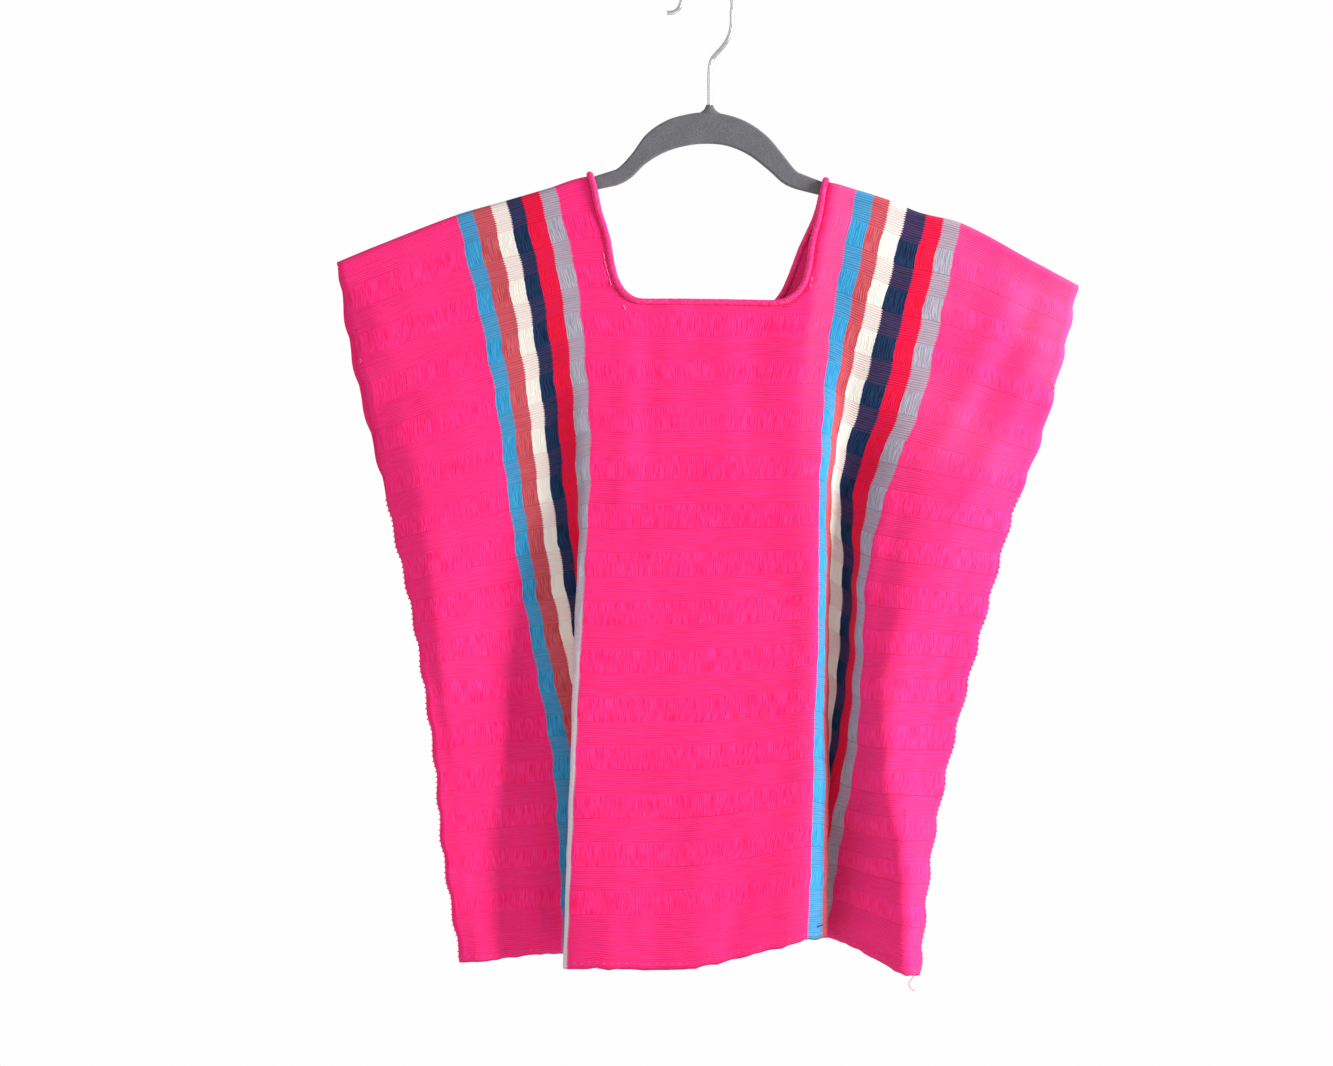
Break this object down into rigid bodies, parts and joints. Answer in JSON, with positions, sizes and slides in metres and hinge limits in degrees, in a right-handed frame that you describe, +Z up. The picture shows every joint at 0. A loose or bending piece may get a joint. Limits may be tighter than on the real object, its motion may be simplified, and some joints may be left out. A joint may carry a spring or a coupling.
{
  "type": "huipil blouse on a hanger",
  "caption": "Handwoven striped huipil blouse with a square bound neck and open armholes, hanging on a slim hanger with a wire hook.",
  "frame": {"origin": "the point inside the top of the hook, where the hanger bears on a rod", "axes": "+Z up, +X to the right of a viewer who faces the front, -Y out of the front of the blouse"},
  "size_m": [0.6416, 0.0901, 0.8599],
  "materials": {
    "cloth": "handwoven cotton, bright pink with coloured warp stripes, matt with a slight sheen",
    "binding": "thick overcast pink cotton cord edge",
    "hanger_velvet": "grey flocked velvet over plastic",
    "hook_wire": "bright plated steel wire"
  },
  "bodies": {
    "root": {"cloth_front": "cloth", "cloth_back": "cloth", "neck_binding": "binding", "hanger_bar": "hanger_velvet", "hook_collar": "hanger_velvet", "hanger_hook": "hook_wire"}
  },
  "joints": []
}
